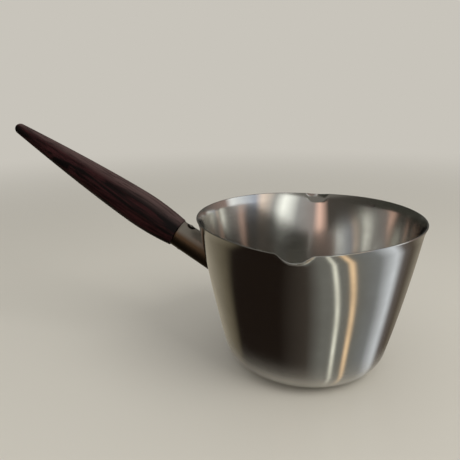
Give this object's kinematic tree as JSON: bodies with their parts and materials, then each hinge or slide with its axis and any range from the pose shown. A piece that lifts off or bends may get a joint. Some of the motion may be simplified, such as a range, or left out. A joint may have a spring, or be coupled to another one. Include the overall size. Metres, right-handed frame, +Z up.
{
  "type": "milk pan",
  "caption": "Small drawn-steel milk pan with a flared rim, a pressed pouring lip on each side and a long tapered wooden handle pinned into a welded steel socket.",
  "frame": {"origin": "centre of the flat base, on the surface that the pan stands on", "axes": "+Z up along the bowl's axis; the handle points along -X and rises from level; the two pouring lips point along +Y and -Y"},
  "size_m": [0.2736, 0.1608, 0.1513],
  "materials": {
    "pan_steel": "satin stainless steel, fine brushed lines running round the bowl",
    "socket_steel": "satin stainless steel tube, brushed along its length, slightly tarnished",
    "weld": "dull weld bead",
    "pin_steel": "dull darkened steel pin",
    "dark_wood": "oiled dark hardwood, satin, reddish brown with near-black streaks along the length"
  },
  "bodies": {
    "root": {"pan_body": "pan_steel", "handle_socket": "socket_steel", "weld_bead": "weld", "socket_pin": "pin_steel", "handle_grip": "dark_wood"}
  },
  "joints": []
}
